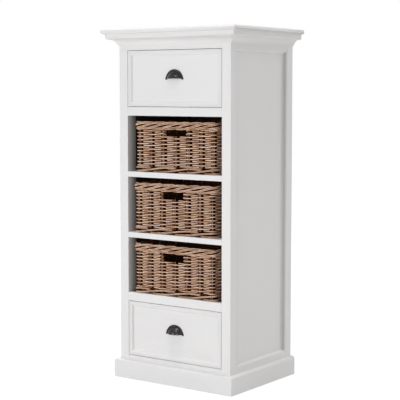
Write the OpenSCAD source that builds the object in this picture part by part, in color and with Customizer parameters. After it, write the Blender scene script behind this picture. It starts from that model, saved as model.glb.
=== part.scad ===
// Bathroom storage tower: a painted frame-and-panel cabinet with a crown, a plinth,
// two inset drawers with cup pulls and three open bays that hold woven baskets.
// +Z is up, -Y is the front, and the origin is at the middle of the footprint, on the floor.

/* [Cabinet] */
// Height from the floor to the top of the crown
total_h = 1450; // [1440:5:1600]
// Width of the body between the outer faces of its sides
body_w = 556; // [500:2:640]
// Depth of the body from the face frame to the back
body_d = 456; // [440:2:520]
// Width of the front posts, seen from the front
stile_w = 42; // [36:1:50]
// Depth of the four posts, front to back
post_d = 55; // [50:1:70]
// Height of each of the five front openings
bay_h = 230; // [225:1:236]
// Height of the two rails next to the drawers
rail_h = 36; // [24:1:36]
// Thickness of the two shelves
shelf_t = 22; // [18:1:25]
// Thickness of the front rails, front to back
rail_t = 22; // [18:1:24]
// Height of the lowest opening's floor above the ground
sill_h = 97; // [95:1:105]

/* [Crown and plinth] */
// How far the top board stands out at the front and the sides
crown_out = 56; // [50:1:60]
// Thickness of the top board
top_t = 21; // [18:1:24]
// Height of the crown moulding under the top board
crown_h = 45; // [45:1:48]
// How far the plinth stands out at the front and the sides
plinth_out = 20; // [16:1:24]
// Height of the plinth
plinth_h = 78; // [70:1:90]

/* [Sides] */
// Width of the side frame's uprights, seen from the side
side_stile = 42; // [38:1:46]
// Depth of the sunk side panel below the frame
recess = 16; // [14:1:16]
// Thickness of the side panels
panel_t = 8; // [6:1:10]
// Height of the recess's lower edge above the ground
recess_low = 99.5; // [98:0.5:110]
// Thickness of the back panel
back_t = 6; // [4:1:6]

/* [Drawers] */
// Thickness of the drawer fronts
front_t = 20; // [18:1:22]
// Gap round an inset drawer front
reveal = 2; // [1.5:0.5:3]
// Depth of the sunk field of a drawer front
field_depth = 8; // [6:1:9]
// Width of the flat rim round a drawer front
rim_w = 5; // [4:1:8]
// Thickness of the drawer box's sides and back
box_t = 12; // [10:1:15]
// Height of the drawer box
box_h = 170; // [120:5:175]
// Length of the drawer box behind its front
box_len = 370; // [320:5:380]

/* [Cup pulls] */
// Outer radius of the pull's flange
flange_r = 44; // [40:1:48]
// Width of the flange round the cup
flange_w = 8; // [7:0.5:9]
// Thickness of the flange
flange_t = 3; // [2.5:0.5:4]
// How far the cup stands out
cup_out = 26; // [22:1:28]

/* [Baskets] */
// Width of a basket at its rim
basket_w = 422; // [380:2:430]
// Depth of a basket at its rim
basket_d = 400; // [350:2:405]
// Height of a basket
basket_h = 208; // [190:1:215]
// Corner radius of a basket at its rim
basket_r = 27; // [24:1:45]
// Thickness of the woven wall
weave_t = 12; // [10:1:13]
// Height of the plaited rim
rim_h = 34; // [26:1:36]
// Height of the twisted foot
foot_h = 24; // [20:1:26]
// Width of the hand-hole in the front
hole_w = 102; // [90:1:110]
// Height of the hand-hole
hole_h = 29; // [24:1:32]
// How far the upper basket stands to the left of the middle
upper_aside = 2; // [0:1:10]
// How far the middle and the lower basket stand to the left of the middle
lower_aside = 9; // [0:1:10]

/* [Hidden] */
$fn = 64;
tiny = 0.01;

// Planes that the pieces share
half_w = body_w / 2;
front_y = -(body_d + crown_out) / 2 + crown_out;
back_y = front_y + body_d;
open_x = half_w - stile_w;
post_back_y = front_y + post_d;
rear_post_y = back_y - post_d;
panel_out_x = half_w - recess;
panel_in_x = panel_out_x - panel_t;
carcass_top = total_h - top_t;

// Floors of the five openings, from the bottom up
lower_drawer_z = sill_h;
lower_bay_z = lower_drawer_z + bay_h + rail_h;
middle_bay_z = lower_bay_z + bay_h + shelf_t;
upper_bay_z = middle_bay_z + bay_h + shelf_t;
upper_drawer_z = upper_bay_z + bay_h + rail_h;
recess_top = upper_drawer_z + bay_h + 1;

// Small steps that set a moulding off from the flat beside it
quirk = 0.5;
bead_foot = 1;

// Boards inside the carcass
deck_t = 12;
floor_t = 18;
bottom_board_z = sill_h - 22;
back_inner_y = back_y - 8;
lap_x = half_w - 12;
runner_lift = 1;
runner_low_in = 18;
guide_h = 40;

// Drawer box
front_w = 2 * (open_x - reveal);
front_h = bay_h - 2 * reveal;
box_x = open_x - reveal;
box_y = front_y + front_t;
field_arc = 20;
field_y = front_y + field_depth;
groove = 4;
bottom_t = 6;
bottom_up = 12;

// Cup pull, measured from the foot of its ears
ear_r = 4.4;
arch_z = -2;
cup_r = flange_r - flange_w + 1;
cup_wall = 2;
cup_ball = (pow(cup_r, 2) + pow(cup_out, 2)) / (2 * cup_out);
cup_ball_y = cup_ball - cup_out;
lip_z = 4.5;
pull_drop = 5.5;
screw_r = 1.5;
screw_hole_r = 1.7;
screw_depth = 9;
head_r = 3.1;
head_h = 1.5;

// Basket: the rim and the foot stand out from the woven wall
basket_front_y = front_y + 2;
basket_mid_y = basket_front_y + basket_d / 2;
rim_out = 6;
rim_in = 14;
foot_out = 4;
wall_hw = basket_w / 2 - rim_out;
wall_hd = basket_d / 2 - rim_out;
wall_r = basket_r - rim_out;
border_round = 6;
base_up = 10;
base_t = 9;

// ---- Shared shapes ----

// A board between two corners
module board(low, high) {
    translate(low) cube(high - low);
}

// A shape drawn for the right-hand side, on the right or mirrored to the left
module on_side(right) {
    if (right) children();
    else mirror([1, 0, 0]) children();
}

// A horizontal board notched round the four posts
module notched_board(start_y, z, thick) {
    translate([0, 0, z]) linear_extrude(thick) union() {
        translate([-open_x, start_y]) square([2 * open_x, back_inner_y - start_y]);
        translate([-panel_in_x, post_back_y])
            square([2 * panel_in_x, rear_post_y - post_back_y]);
    }
}

// Runs a 2D profile along X across the front; the profile's x points out, its y up
module run_front(half_length) {
    translate([0, front_y, 0]) rotate([90, 0, -90])
        linear_extrude(2 * half_length, center = true) children();
}

// Runs the same profile along the right-hand side, from in front of the body to its back
module run_right(reach) {
    translate([half_w, back_y, 0]) rotate([90, 0, 0])
        linear_extrude(body_d + reach) children();
}

// Space that a mitred front moulding keeps
module front_mitre(reach) {
    translate([0, 0, -1]) linear_extrude(total_h + 2)
        polygon([[-half_w, front_y], [half_w, front_y],
                 [half_w + reach, front_y - reach], [-half_w - reach, front_y - reach]]);
}

// Space that a mitred right-hand moulding keeps
module right_mitre(reach) {
    translate([0, 0, -1]) linear_extrude(total_h + 2)
        polygon([[half_w, front_y], [half_w + reach, front_y - reach],
                 [half_w + reach, back_y], [half_w, back_y]]);
}

// A rectangle with round corners, drawn from its centre
module soft_rectangle(w, h, r) {
    square([w - 2 * r, h], center = true);
    square([w, h - 2 * r], center = true);
    for (x = [-1, 1], y = [-1, 1])
        translate([x * (w / 2 - r), y * (h / 2 - r)]) circle(r);
}

// Runs a 2D section round a rectangle with round corners; the section's x points out
module run_round(half_width, half_depth, r) {
    for (turn = [0:3]) {
        across = turn % 2 == 0;
        length = 2 * ((across ? half_width : half_depth) - r);
        rotate([0, 0, 90 * turn]) translate([0, across ? -half_depth : -half_width, 0])
            rotate([90, 0, -90]) linear_extrude(length, center = true) children();
    }
    for (x = [0, 1], y = [0, 1]) mirror([x, 0, 0]) mirror([0, y, 0])
        translate([half_width - r, half_depth - r, 0])
            rotate_extrude(angle = 90) translate([r, 0]) children();
}

// ---- Crown, top and plinth ----

// The board's outline seen from one end, with a half-round edge at the far side
module bullnose(length) {
    translate([0, -top_t / 2]) square([length - top_t / 2, top_t]);
    translate([length - top_t / 2, 0]) circle(top_t / 2);
}

module top_board() {
    mid_z = total_h - top_t / 2;
    color("whitesmoke") intersection() {
        translate([0, back_y, mid_z]) rotate([90, 0, 0]) linear_extrude(body_d + crown_out) union() {
            bullnose(half_w + crown_out);
            mirror([1, 0]) bullnose(half_w + crown_out);
        }
        translate([0, back_y, mid_z]) rotate([90, 0, -90])
            linear_extrude(2 * (half_w + crown_out), center = true)
                bullnose(body_d + crown_out);
    }
}

// Crown section: a rounded upper member over a shallow cove, measured down from its top
module crown_profile() {
    upper_out = 42;
    upper_h = 21;
    nose_r = 8;
    cove_r = 35;
    start = [23, -upper_h - 1];
    end = [5, -crown_h];
    chord = end - start;
    rise = sqrt(pow(cove_r, 2) - pow(norm(chord) / 2, 2));
    centre = (start + end) / 2 + [-chord[1], chord[0]] / norm(chord) * rise;
    translate([0, -upper_h]) square([upper_out - nose_r, upper_h]);
    translate([0, nose_r - upper_h]) square([upper_out, upper_h - nose_r]);
    translate([upper_out - nose_r, nose_r - upper_h]) circle(nose_r);
    difference() {
        translate([0, -crown_h]) square([start[0], crown_h - upper_h + 1]);
        translate(centre) circle(cove_r, $fn = 128);
    }
}

module crown_front() {
    color("whitesmoke") intersection() {
        run_front(half_w + crown_out) translate([0, carcass_top]) crown_profile();
        front_mitre(crown_out);
    }
}

module crown_side(right) {
    color("whitesmoke") on_side(right) intersection() {
        run_right(crown_out) translate([0, carcass_top]) crown_profile();
        right_mitre(crown_out);
    }
}

// Plinth section: a plain face with a rounded shoulder and a narrow ledge
module plinth_profile() {
    shoulder_r = 12;
    square([plinth_out, plinth_h - shoulder_r]);
    square([plinth_out - shoulder_r, plinth_h]);
    translate([plinth_out - shoulder_r, plinth_h - shoulder_r]) circle(shoulder_r);
}

module plinth_front() {
    color("whitesmoke") intersection() {
        run_front(half_w + plinth_out) plinth_profile();
        front_mitre(plinth_out);
    }
}

module plinth_side(right) {
    color("whitesmoke") on_side(right) intersection() {
        run_right(plinth_out) plinth_profile();
        right_mitre(plinth_out);
    }
}

// ---- Posts, rails and panels ----

// A front post, notched behind its outer corner for the bead
module front_post(right) {
    bead_y = front_y + side_stile;
    color("whitesmoke") on_side(right) linear_extrude(carcass_top)
        polygon([[open_x, front_y], [half_w, front_y], [half_w, bead_y],
                 [panel_out_x, bead_y], [panel_out_x, post_back_y], [open_x, post_back_y]]);
}

// A back post, notched for the bead and rebated for the back panel
module back_post(right) {
    bead_y = back_y - side_stile;
    color("whitesmoke") on_side(right) difference() {
        linear_extrude(carcass_top)
            polygon([[open_x, rear_post_y], [panel_out_x, rear_post_y], [panel_out_x, bead_y],
                     [half_w, bead_y], [half_w, back_y], [lap_x, back_y],
                     [lap_x, back_inner_y], [open_x, back_inner_y]]);
        back_screw_holes(back_inner_y - 12, back_inner_y + 1, screw_r + 0.1);
    }
}

module front_rail(low, high) {
    color("whitesmoke") board([-open_x, front_y, low], [open_x, front_y + rail_t, high]);
}

// A side rail that fills the notches between the front and the back post
module side_rail(right, low, high) {
    color("whitesmoke") on_side(right) {
        board([panel_out_x, front_y + side_stile, low], [half_w, back_y - side_stile, high]);
        board([panel_in_x, post_back_y, low], [panel_out_x, rear_post_y, high]);
    }
}

module side_panel(right) {
    color("whitesmoke") on_side(right)
        board([panel_in_x, post_back_y, recess_low], [panel_out_x, rear_post_y, recess_top]);
}

// The mitred moulding round the sunk side panel: a round over a hollow
module side_bead(right) {
    width = body_d - 2 * side_stile;
    height = recess_top - recess_low;
    color("whitesmoke") on_side(right)
        translate([half_w, (front_y + back_y) / 2, (recess_low + recess_top) / 2]) difference() {
            translate([-recess, -width / 2, -height / 2]) cube([recess, width, height]);
            intersection() {
                rotate([0, 0, -90]) linear_extrude(height, center = true) bead_space(width);
                rotate([90, 0, 0]) rotate([0, 0, -90])
                    linear_extrude(width, center = true) bead_space(height);
            }
        }
}

// What the bead leaves open, seen along its length: x runs across, y points outward
module bead_space(width) {
    r = (recess - bead_foot - quirk) / 2;
    mid_y = -r - quirk;
    difference() {
        translate([-width / 2, -recess - 1]) square([width, recess + 2]);
        for (left = [true, false]) mirror([left ? 0 : 1, 0]) translate([-width / 2, 0]) {
            translate([0, mid_y]) circle(r);
            difference() {
                translate([-1, -recess - 2]) square([2 * r + 1, recess + 2 + mid_y]);
                translate([2 * r, mid_y]) circle(r);
            }
        }
    }
}

module back_panel() {
    color("dimgray") difference() {
        board([-lap_x, back_inner_y, plinth_h], [lap_x, back_inner_y + back_t, carcass_top]);
        for (right = [true, false]) on_side(right)
            back_screw_holes(back_inner_y - 1, back_inner_y + back_t + 1, screw_r + 0.2);
    }
}

// Five screw positions up a back post
function screw_heights() = [for (i = [0:4]) plinth_h + 60 + i * (carcass_top - plinth_h - 120) / 4];

module back_screw_holes(from_y, to_y, r) {
    for (z = screw_heights()) translate([open_x + 18, to_y, z]) rotate([90, 0, 0])
        cylinder(h = to_y - from_y, r = r);
}

module back_screws() {
    skin_y = back_inner_y + back_t;
    color("silver") for (right = [true, false]) on_side(right)
        for (z = screw_heights()) translate([open_x + 18, skin_y, z]) rotate([-90, 0, 0])
            screw(skin_y - back_inner_y + 10);
}

// A round-headed screw: the head rises along +Z from the origin, the shank goes down
module screw(length) {
    ball = (pow(head_r, 2) + pow(head_h, 2)) / (2 * head_h);
    difference() {
        intersection() {
            translate([0, 0, head_h - ball]) sphere(ball);
            cylinder(h = head_h + 1, r = head_r + 1);
        }
        translate([-head_r - 1, -0.4, head_h - 0.6]) cube([2 * head_r + 2, 0.8, 1]);
    }
    translate([0, 0, -length]) cylinder(h = length + tiny, r = screw_r);
}

// A shelf is seen edge-on between the posts; a deck starts behind its front rail
module shelf(bay_z) {
    color("whitesmoke") notched_board(front_y, bay_z - shelf_t, shelf_t);
}

module deck(z, thick) {
    color("gainsboro") notched_board(front_y + rail_t, z, thick);
}

// A pair of drawer runners, each with its guide batten
module runners(deck_top, drawer_z) {
    top = drawer_z + runner_lift;
    color("burlywood") for (right = [true, false]) on_side(right) {
        board([open_x - runner_low_in, post_back_y, deck_top], [panel_in_x, rear_post_y, top]);
        board([open_x, post_back_y, top - tiny], [panel_in_x, rear_post_y, top + guide_h]);
    }
}

// ---- Drawers ----

// The sunk field of a drawer front seen along its length, with a quarter-round edge
module field_space(width) {
    difference() {
        translate([-width / 2 + rim_w, -field_depth]) square([width - 2 * rim_w, field_depth + 1]);
        for (left = [true, false]) mirror([left ? 0 : 1, 0])
            translate([-width / 2 + rim_w, -field_arc - quirk]) circle(field_arc, $fn = 128);
    }
}

module drawer_front(z) {
    mid_z = z + bay_h / 2;
    color("whitesmoke") difference() {
        board([-front_w / 2, front_y, z + reveal], [front_w / 2, box_y, z + bay_h - reveal]);
        translate([0, front_y, mid_z]) intersection() {
            rotate([0, 0, 180]) linear_extrude(front_h, center = true) field_space(front_w);
            rotate([180, 0, 0]) rotate([0, 90, 0])
                linear_extrude(front_w, center = true) field_space(front_h);
        }
        translate([0, field_y, mid_z - pull_drop]) pull_screw_places()
            translate([0, 0, -screw_depth]) cylinder(h = screw_depth + 1, r = screw_r + 0.1);
    }
}

module drawer_side(right, z) {
    low = z + runner_lift;
    color("burlywood") on_side(right) difference() {
        board([box_x - box_t, box_y, low], [box_x, box_y + box_len, low + box_h]);
        board([box_x - box_t - 1, box_y - 1, low + bottom_up],
              [box_x - box_t + groove, box_y + box_len + 1, low + bottom_up + bottom_t]);
    }
}

module drawer_back(z) {
    low = z + runner_lift + bottom_up + bottom_t;
    in_x = box_x - box_t;
    color("burlywood") board([-in_x, box_y + box_len - box_t, low],
                             [in_x, box_y + box_len, z + runner_lift + box_h - 4]);
}

module drawer_bottom(z) {
    low = z + runner_lift + bottom_up;
    wide = box_x - box_t + groove;
    color("tan") board([-wide, box_y, low], [wide, box_y + box_len, low + bottom_t]);
}

// The pull's three screw places, with +Z pointing out of the drawer front
module pull_screw_places() {
    ring_r = flange_r - flange_w / 2;
    for (place = [[0, arch_z + ring_r], [-ring_r, lip_z], [ring_r, lip_z]])
        translate([place[0], 0, place[1]]) rotate([90, 0, 0]) children();
}

// Cup pull: an arched flange with round ears, and a hollow cup cut from a ball
module cup_pull(z) {
    ring_r = flange_r - flange_w / 2;
    color([0.16, 0.15, 0.15]) translate([0, field_y, z + bay_h / 2 - pull_drop]) {
        difference() {
            rotate([90, 0, 0]) linear_extrude(flange_t) union() {
                difference() {
                    translate([0, arch_z]) circle(flange_r, $fn = 128);
                    translate([0, arch_z]) circle(cup_r - cup_wall, $fn = 128);
                    translate([-flange_r - 1, lip_z - 2 * flange_r]) square([2 * flange_r + 2, 2 * flange_r]);
                }
                for (s = [-1, 1]) translate([s * ring_r, lip_z]) circle(ear_r);
            }
            pull_screw_places() translate([0, 0, -1]) cylinder(h = flange_t + 2, r = screw_hole_r);
        }
        difference() {
            translate([0, cup_ball_y, arch_z]) sphere(cup_ball, $fn = 128);
            translate([0, cup_ball_y, arch_z]) sphere(cup_ball - cup_wall, $fn = 128);
            translate([-flange_r, -flange_t / 2, -2 * flange_r]) cube(4 * flange_r);
            translate([-flange_r, -2 * flange_r, lip_z - 4 * flange_r]) cube(4 * flange_r);
        }
    }
}

module pull_screws(z) {
    color("dimgray") translate([0, field_y, z + bay_h / 2 - pull_drop]) pull_screw_places()
        translate([0, 0, flange_t]) screw(flange_t + screw_depth - 1);
}

// ---- Baskets ----
// Each piece of a basket is drawn at a distance to the left and at the height of a bay's floor.

// The section of a border with round edges; out and in are counted from the wall's face
module border_section(out, in, height) {
    translate([(out - in) / 2, height / 2]) soft_rectangle(out + in, height, border_round);
}

module basket_rim(aside, z) {
    color("tan") translate([-aside, basket_mid_y, z + basket_h - rim_h])
        run_round(wall_hw, wall_hd, wall_r) border_section(rim_out, rim_in, rim_h);
}

// The woven wall, with the hand-hole right under the rim
module basket_wall(aside, z) {
    height = basket_h - rim_h - foot_h;
    color("tan") translate([-aside, basket_mid_y, z + foot_h]) difference() {
        run_round(wall_hw, wall_hd, wall_r) translate([-weave_t, 0]) square([weave_t, height]);
        translate([0, -wall_hd - 1, height - hole_h / 2]) rotate([-90, 0, 0])
            linear_extrude(weave_t + 2) union() {
                soft_rectangle(hole_w, hole_h, 8);
                translate([-hole_w / 2, -hole_h / 2 - 1]) square([hole_w, hole_h / 2]);
            }
    }
}

module basket_foot(aside, z) {
    color("tan") translate([-aside, basket_mid_y, z])
        run_round(wall_hw, wall_hd, wall_r) border_section(foot_out, weave_t, foot_h);
}

module basket_base(aside, z) {
    color("tan") translate([-aside, basket_mid_y, z + base_up]) linear_extrude(base_t)
        soft_rectangle(2 * (wall_hw - weave_t), 2 * (wall_hd - weave_t), wall_r - weave_t);
}

top_board();
crown_front();
crown_side(false);  // crown_left
crown_side(true);  // crown_right
front_post(false);  // front_post_left
front_post(true);  // front_post_right
back_post(false);  // back_post_left
back_post(true);  // back_post_right
front_rail(upper_drawer_z + bay_h, carcass_top);  // top_rail
front_rail(upper_drawer_z - rail_h, upper_drawer_z);  // upper_rail
front_rail(lower_bay_z - rail_h, lower_bay_z);  // lower_rail
front_rail(0, sill_h);  // bottom_rail
side_rail(false, recess_top, carcass_top);  // side_top_rail_left
side_rail(true, recess_top, carcass_top);  // side_top_rail_right
side_rail(false, 0, recess_low);  // side_bottom_rail_left
side_rail(true, 0, recess_low);  // side_bottom_rail_right
side_panel(false);  // side_panel_left
side_panel(true);  // side_panel_right
side_bead(false);  // side_bead_left
side_bead(true);  // side_bead_right
back_panel();
back_screws();
shelf(upper_bay_z);  // shelf_upper
shelf(middle_bay_z);  // shelf_lower
deck(upper_drawer_z - rail_h, deck_t);  // deck_upper
deck(lower_bay_z - floor_t, floor_t);  // deck_lower
deck(bottom_board_z, deck_t);  // bottom_board
runners(upper_drawer_z - rail_h + deck_t, upper_drawer_z);  // runners_upper
runners(bottom_board_z + deck_t, lower_drawer_z);  // runners_lower
plinth_front();
plinth_side(false);  // plinth_left
plinth_side(true);  // plinth_right
drawer_front(upper_drawer_z);  // drawer_upper_front
drawer_side(false, upper_drawer_z);  // drawer_upper_side_left
drawer_side(true, upper_drawer_z);  // drawer_upper_side_right
drawer_back(upper_drawer_z);  // drawer_upper_back
drawer_bottom(upper_drawer_z);  // drawer_upper_bottom
cup_pull(upper_drawer_z);  // cup_pull_upper
pull_screws(upper_drawer_z);  // pull_screws_upper
drawer_front(lower_drawer_z);  // drawer_lower_front
drawer_side(false, lower_drawer_z);  // drawer_lower_side_left
drawer_side(true, lower_drawer_z);  // drawer_lower_side_right
drawer_back(lower_drawer_z);  // drawer_lower_back
drawer_bottom(lower_drawer_z);  // drawer_lower_bottom
cup_pull(lower_drawer_z);  // cup_pull_lower
pull_screws(lower_drawer_z);  // pull_screws_lower
basket_rim(upper_aside, upper_bay_z);  // basket_upper_rim
basket_wall(upper_aside, upper_bay_z);  // basket_upper_wall
basket_foot(upper_aside, upper_bay_z);  // basket_upper_foot
basket_base(upper_aside, upper_bay_z);  // basket_upper_base
basket_rim(lower_aside, middle_bay_z);  // basket_middle_rim
basket_wall(lower_aside, middle_bay_z);  // basket_middle_wall
basket_foot(lower_aside, middle_bay_z);  // basket_middle_foot
basket_base(lower_aside, middle_bay_z);  // basket_middle_base
basket_rim(lower_aside, lower_bay_z);  // basket_lower_rim
basket_wall(lower_aside, lower_bay_z);  // basket_lower_wall
basket_foot(lower_aside, lower_bay_z);  // basket_lower_foot
basket_base(lower_aside, lower_bay_z);  // basket_lower_base
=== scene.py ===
# %% [markdown]
# # A white storage tower with woven baskets
#
# This lesson dresses a finished CAD model of a bathroom tower: a painted frame-and-panel
# cabinet with two drawers, two dark cup pulls and three loose wicker baskets. The CAD model
# is loaded as a fixed frame. It holds every board at its real size and place, so this script
# adds only looks: paint, wood, iron, light, and baskets that are really woven.

# %% Load the frame
import math

import bpy
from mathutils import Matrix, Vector


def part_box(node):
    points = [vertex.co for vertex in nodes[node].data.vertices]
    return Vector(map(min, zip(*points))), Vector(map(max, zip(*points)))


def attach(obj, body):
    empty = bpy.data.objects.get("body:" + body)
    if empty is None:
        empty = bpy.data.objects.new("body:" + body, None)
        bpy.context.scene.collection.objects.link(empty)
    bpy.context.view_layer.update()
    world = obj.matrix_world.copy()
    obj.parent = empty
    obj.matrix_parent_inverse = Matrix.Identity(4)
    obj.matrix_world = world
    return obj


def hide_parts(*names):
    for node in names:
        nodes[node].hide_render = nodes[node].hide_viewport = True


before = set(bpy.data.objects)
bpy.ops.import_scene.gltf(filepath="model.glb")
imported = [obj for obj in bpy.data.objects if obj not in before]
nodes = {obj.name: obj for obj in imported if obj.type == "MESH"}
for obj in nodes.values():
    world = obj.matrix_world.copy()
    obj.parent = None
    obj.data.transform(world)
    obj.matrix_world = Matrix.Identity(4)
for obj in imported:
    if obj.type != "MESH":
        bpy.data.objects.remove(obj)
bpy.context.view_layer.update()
scene = bpy.context.scene

# %% [markdown]
# ## Camera
#
# The photograph was taken from the right of the tower, a little above its upper basket and
# from about five metres away. A long lens at that distance keeps the tall posts nearly
# parallel. The place and the lens come from a pinhole camera fitted to the tower's edges.

# %% Camera
camera_data = bpy.data.cameras.new("camera")
camera_data.sensor_width = 36.0
camera_data.lens = 107.494
camera = bpy.data.objects.new("camera", camera_data)
camera.location = (2.88831, -4.03027, 1.19522)
camera.rotation_euler = (math.radians(84.816), 0.0, math.radians(35.746))
scene.collection.objects.link(camera)
scene.camera = camera
scene.view_settings.view_transform = "Standard"
print("camera", round(camera.location.length, 2), "m away, lens", camera_data.lens, "mm")

# %% [markdown]
# ## Writing node trees
#
# Shaders and Geometry Nodes are both trees of nodes, and a tree of many nodes is hard to read
# as plain calls. Here one helper adds a node, sets its options and fills its sockets. A Wire
# stands for a node's output: adding or multiplying wires adds Math nodes, so a formula in a
# tree reads as it would on paper.

# %% Wires
FLOAT, VECTOR = "NodeSocketFloat", "NodeSocketVector"
SHAPE, FINISH = "NodeSocketGeometry", "NodeSocketMaterial"
SOCKET_KINDS = {float: FLOAT, int: "NodeSocketInt", tuple: VECTOR}


class Wire:
    """A node's output. A sum with it, as with a number, adds a Math node to its tree."""

    def __init__(self, tree, socket):
        self.tree = tree
        self.socket = socket

    def __add__(self, other):
        return maths("ADD", self, other)

    def __radd__(self, other):
        return self + other

    def __sub__(self, other):
        return maths("SUBTRACT", self, other)

    def __mul__(self, other):
        return maths("MULTIPLY", self, other)

    def __truediv__(self, other):
        return maths("DIVIDE", self, other)


def by_name(tree, sockets):
    """A node's outputs as wires, by their names and also by number from 0."""
    usable = [Wire(tree, socket) for socket in sockets if socket.enabled]
    return {**dict(enumerate(usable)), **{wire.socket.name: wire for wire in usable}}


def tree_of(*values):
    """The tree of the first wire among some values."""
    return next(value.tree for value in values if isinstance(value, Wire))


print("sockets for", [kind.__name__ for kind in SOCKET_KINDS])

# %% Nodes
def fill(tree, node, sockets):
    """Gives a node's inputs, by name or number, a plain value or a wire."""
    for key, value in sockets.items():
        if isinstance(key, str):
            socket = next(s for s in node.inputs if s.name == key and s.enabled)
        else:
            socket = node.inputs[key]
        if isinstance(value, Wire):
            tree.links.new(value.socket, socket)
        else:
            socket.default_value = value


def add(tree, kind, sockets=None, **options):
    """Adds a node, sets its options, fills its inputs and returns it."""
    node = tree.nodes.new(kind)
    for option, value in options.items():
        setattr(node, option, value)
    fill(tree, node, sockets or {})
    return node


def wires(tree, kind, sockets=None, **options):
    """Adds a node and returns its outputs as wires."""
    return by_name(tree, add(tree, kind, sockets, **options).outputs)


def node_group(kind, inputs, outputs, name=None):
    """Turns a function that draws a tree, from its inputs to its outputs, into a node group.

    Each input is given its first value or, where it can have none, its kind of socket.
    """
    def draw(function):
        tree = bpy.data.node_groups.new(name or function.__name__, kind + "NodeTree")
        for title, value in inputs.items():
            socket_kind = SOCKET_KINDS.get(type(value), value)
            socket = tree.interface.new_socket(title, in_out="INPUT", socket_type=socket_kind)
            if socket_kind != value:
                socket.default_value = value
        for title, socket_kind in outputs.items():
            tree.interface.new_socket(title, in_out="OUTPUT", socket_type=socket_kind)
        add(tree, "NodeGroupOutput", function(tree, wires(tree, "NodeGroupInput")))
        print("group:", tree.name, "with", len(tree.nodes), "nodes")
        return tree
    return draw


def geometry(tree, kind, sockets=None, **options):
    """The first output of a new Geometry node."""
    return wires(tree, "GeometryNode" + kind, sockets, **options)[0]


def use(tree, group, sockets=None):
    """Places a node group in a tree and returns its outputs as wires."""
    kind = group.bl_idname.replace("NodeTree", "NodeGroup")
    return wires(tree, kind, sockets, node_tree=group)


# %% Sums, vectors and noise
def maths(operation, *values):
    """The result of one Math node."""
    sockets = dict(enumerate(values))
    return wires(tree_of(*values), "ShaderNodeMath", sockets, operation=operation)[0]


def vectors(operation, *values):
    """The vector that one Vector Math node gives; the first value is a wire."""
    places = (0, 3) if operation == "SCALE" else range(len(values))
    sockets = dict(zip(places, values))
    return wires(values[0].tree, "ShaderNodeVectorMath", sockets, operation=operation)[0]


def point(tree, x=0.0, y=0.0, z=0.0):
    """A vector from three values."""
    return wires(tree, "ShaderNodeCombineXYZ", {0: x, 1: y, 2: z})[0]


def axes(vector):
    """The X, Y and Z of a vector."""
    return wires(vector.tree, "ShaderNodeSeparateXYZ", {0: vector})


def ramp(value, low, high, from_low=0.0, from_high=1.0, course="LINEAR"):
    """A value carried from one range to another, held at its ends."""
    sockets = {0: value, 1: from_low, 2: from_high, 3: low, 4: high}
    return wires(value.tree, "ShaderNodeMapRange", sockets, interpolation_type=course)[0]


def noise(place, scale, detail, **fourth):
    """A noise texture's outputs; a fourth axis W gives each seed a pattern of its own."""
    sockets = {"Vector": place, "Scale": scale, "Detail": detail, **fourth}
    dimensions = "4D" if fourth else "3D"
    return wires(place.tree, "ShaderNodeTexNoise", sockets, noise_dimensions=dimensions)


# %% [markdown]
# ## Studio
#
# The tower stands in a plain white studio, lit by separate soft boxes. The photograph's front is
# its brightest face, so one lamp is in front. One beside the camera reaches the baskets' ends
# behind the right-hand post, and a small high one makes the bright spot on each pull. Two behind
# on the right light the side a little less. One is overhead, one is for the left side, which
# the photograph hides, and a faint low one is for the crown's underside. Comparing one lamp at
# a time with the photograph gave their levels.
#
# The world adds only a little light, but the camera and reflections see it as pure white. The
# floor is pale grey: the camera sees most of it as white, and it still catches a soft shadow.

# %% World
WORLD_LEVEL = 0.15
WHITE = (1.0, 1.0, 1.0, 1.0)


def build_world():
    """A uniform pale world that looks pure white to the camera and in reflections."""
    world = bpy.data.worlds.new("studio")
    world.use_nodes = True
    tree = world.node_tree
    path = wires(tree, "ShaderNodeLightPath")
    direct = maths("MAXIMUM", path["Is Camera Ray"], path["Is Transmission Ray"])
    seen = maths("MAXIMUM", direct, path["Is Glossy Ray"])
    level = seen * (1.0 - WORLD_LEVEL) + WORLD_LEVEL
    fill(tree, tree.nodes["Background"], {"Color": WHITE, "Strength": level})
    scene.world = world
    return world


print("world:", build_world().name, "level", WORLD_LEVEL)

# %% Lamps
MIDDLE = Vector((0.0, 0.0, 0.75))
PLAIN, COOL, WARM = (1.0, 1.0, 1.0), (0.97, 1.0, 1.04), (1.06, 1.0, 0.94)
# Turn from the front and rise in degrees, power in watts, colour, size and distance in metres.
LAMPS = {
    "front_lamp": (-18.0, 8.0, 88.0, COOL),
    "front_right_lamp": (32.0, 8.0, 89.0),
    "high_front_lamp": (18.0, 56.0, 51.0, COOL, 1.4),
    "right_lamp": (135.0, 8.0, 25.0),
    "high_right_lamp": (135.0, 45.0, 82.0),
    "top_lamp": (0.0, 88.0, 236.0, WARM),
    "left_lamp": (-115.0, 20.0, 130.0),
    "low_lamp": (-17.0, -8.0, 3.8, WARM, 0.6, 2.75),
}


def soft_lamp(name, turn, rise, power, colour=PLAIN, size=2.4, distance=6.5):
    """A square soft box that faces the tower's middle."""
    data = bpy.data.lights.new(name, "AREA")
    data.size = size
    data.energy = power
    data.color = colour
    lamp = bpy.data.objects.new(name, data)
    turn, rise = math.radians(turn), math.radians(rise)
    level = math.cos(rise)
    away = Vector((math.sin(turn) * level, -math.cos(turn) * level, math.sin(rise)))
    lamp.location = MIDDLE + distance * away
    lamp.rotation_euler = away.to_track_quat("Z", "Y").to_euler()
    scene.collection.objects.link(lamp)


for name, settings in LAMPS.items():
    soft_lamp(name, *settings)
print("lamps:", *LAMPS)

# %% Floor
FLOOR_REACH = 20.0
FLOOR_GREY = (0.85, 0.85, 0.85, 1.0)
FLOOR_GLOW = 1.10
GLOW_SHARE = 0.9


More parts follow.
